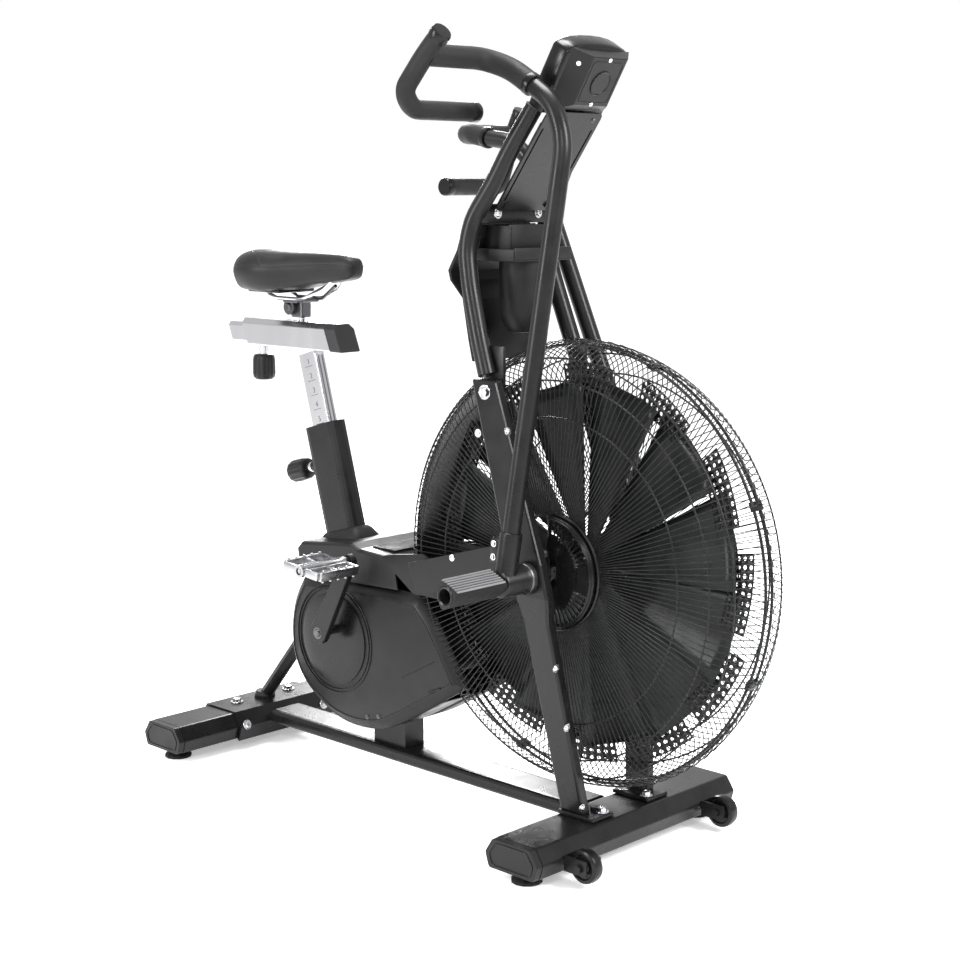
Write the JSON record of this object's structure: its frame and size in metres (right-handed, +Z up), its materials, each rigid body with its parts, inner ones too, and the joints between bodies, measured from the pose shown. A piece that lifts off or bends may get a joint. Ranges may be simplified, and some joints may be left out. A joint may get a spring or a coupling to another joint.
{
  "type": "air bike",
  "caption": "Upright exercise bike with a fan wheel in a wire cage, belt-driven cranks, opposed swinging arms, an adjustable sliding seat and a mast with a console.",
  "frame": {"origin": "bottom centre of the bounding box, on the floor under the middle of the bike", "axes": "+X from the rider towards the fan, +Y to the rider's left, +Z up"},
  "size_m": [1.3074, 0.67, 1.3506],
  "materials": {
    "coat": "satin black powder coat",
    "plastic": "fine-grained black moulding",
    "rubber": "matte black rubber",
    "foam": "matte black foam",
    "cover": "black synthetic leather, stitched",
    "steel": "satin silver steel",
    "alloy": "cast and machined alloy",
    "grey": "grey moulded cap",
    "display": "dark glossy console face"
  },
  "bodies": {
    "base": {"front_stabilizer": "coat", "rear_stabilizer": "coat", "main_rail": "coat", "rear_sleeve": "coat", "fork_l": "coat", "fork_r": "coat", "cage_l": "coat", "cage_r": "coat", "mast_frame": "coat", "mast_panel": "coat", "seat_tube": "coat", "stabilizer_cap_fl": "plastic", "stabilizer_cap_fr": "plastic", "stabilizer_cap_rl": "plastic", "stabilizer_cap_rr": "plastic", "hub_cover_l": "plastic", "hub_cover_r": "plastic", "shroud_l": "plastic", "shroud_r": "plastic", "top_cover": "plastic", "beam_cover_l": "plastic", "beam_cover_r": "plastic", "bottle_holder": "plastic", "mast_cover": "plastic", "console": "plastic", "level_foot_fl": "rubber", "level_foot_fr": "rubber", "level_foot_rl": "rubber", "level_foot_rr": "rubber", "belt": "rubber", "foot_peg_l": "rubber", "foot_peg_r": "rubber", "wheel_bracket_l": "steel", "wheel_bracket_r": "steel", "fan_axle": "steel", "console_screen": "display"},
    "fan": {"fan_wheel": "steel"},
    "crankset": {"crank_pulley": "steel", "crank_l": "coat", "crank_r": "coat"},
    "pedal_left": {"pedal_l": "alloy"},
    "pedal_right": {"pedal_r": "alloy"},
    "arm_right": {"arm_r": "coat", "grip_r": "foam", "arm_hub_r": "coat"},
    "arm_left": {"arm_l": "coat", "grip_l": "foam", "arm_hub_l": "coat"},
    "rod_right": {"push_rod_r": "steel"},
    "rod_left": {"push_rod_l": "steel"},
    "seat_height": {"seat_post": "steel", "seat_rail": "steel", "seat_rail_cap": "grey"},
    "seat_slide": {"seat_slider": "steel", "saddle_clamp": "steel", "saddle": "cover"},
    "post_pin": {"post_knob": "plastic"},
    "slider_pin": {"slider_knob": "plastic"},
    "wheel_left": {"transport_wheel_l": "rubber"},
    "wheel_right": {"transport_wheel_r": "rubber"}
  },
  "joints": [
    {"name": "fan_spin", "type": "hinge", "parent": "base", "child": "fan", "pos_m": [0.2793, 0, 0.4762], "axis": [0, 1, 0], "continuous": true},
    {"name": "crank_spin", "type": "hinge", "parent": "base", "child": "crankset", "pos_m": [-0.2607, 0, 0.287], "axis": [0, 1, 0], "continuous": true},
    {"name": "pedal_right_spin", "type": "hinge", "parent": "crankset", "child": "pedal_right", "pos_m": [-0.1757, -0.195, 0.43422], "axis": [0, 1, 0], "continuous": true},
    {"name": "pedal_left_spin", "type": "hinge", "parent": "crankset", "child": "pedal_left", "pos_m": [-0.3457, 0.195, 0.13978], "axis": [0, 1, 0], "continuous": true},
    {"name": "arm_right_swing", "type": "hinge", "parent": "base", "child": "arm_right", "pos_m": [0.2793, -0.195, 0.4762], "axis": [0, 1, 0], "range_deg": [-27, 5]},
    {"name": "arm_left_swing", "type": "hinge", "parent": "base", "child": "arm_left", "pos_m": [0.2793, 0.195, 0.4762], "axis": [0, 1, 0], "range_deg": [-5, 27]},
    {"name": "rod_right_pin", "type": "hinge", "parent": "arm_right", "child": "rod_right", "pos_m": [0.28162, 0, 0.51112], "axis": [0, 1, 0], "range_deg": [-5, 27]},
    {"name": "rod_left_pin", "type": "hinge", "parent": "arm_left", "child": "rod_left", "pos_m": [0.26791, 0, 0.50929], "axis": [0, 1, 0], "range_deg": [-27, 5]},
    {"name": "seat_height_slide", "type": "slide", "parent": "base", "child": "seat_height", "axis": [-0.2756, 0, 0.9613], "range_m": [-0.112, 0.112]},
    {"name": "seat_fore_aft_slide", "type": "slide", "parent": "seat_height", "child": "seat_slide", "axis": [1, 0, 0], "range_m": [-0.04, 0.04]},
    {"name": "post_pin_pull", "type": "slide", "parent": "base", "child": "post_pin", "axis": [-0.9613, 0, -0.2756], "range_m": [0, 0.012], "stiffness_N_per_m": 900, "springref_m": -0.004},
    {"name": "slider_pin_pull", "type": "slide", "parent": "seat_height", "child": "slider_pin", "axis": [0, 0, -1], "range_m": [0, 0.012], "stiffness_N_per_m": 900, "springref_m": -0.004},
    {"name": "wheel_left_spin", "type": "hinge", "parent": "base", "child": "wheel_left", "pos_m": [0.4403, 0.18, 0.0375], "axis": [0, 1, 0], "continuous": true},
    {"name": "wheel_right_spin", "type": "hinge", "parent": "base", "child": "wheel_right", "pos_m": [0.4403, -0.18, 0.0375], "axis": [0, 1, 0], "continuous": true}
  ],
  "couplings": [
    {"joint": "crank_spin", "follows": "fan_spin", "ratio": 0.23158},
    {"joint": "arm_left_swing", "follows": "arm_right_swing", "ratio": -1},
    {"joint": "rod_right_pin", "follows": "arm_right_swing", "ratio": -1},
    {"joint": "rod_left_pin", "follows": "arm_right_swing", "ratio": 1}
  ]
}
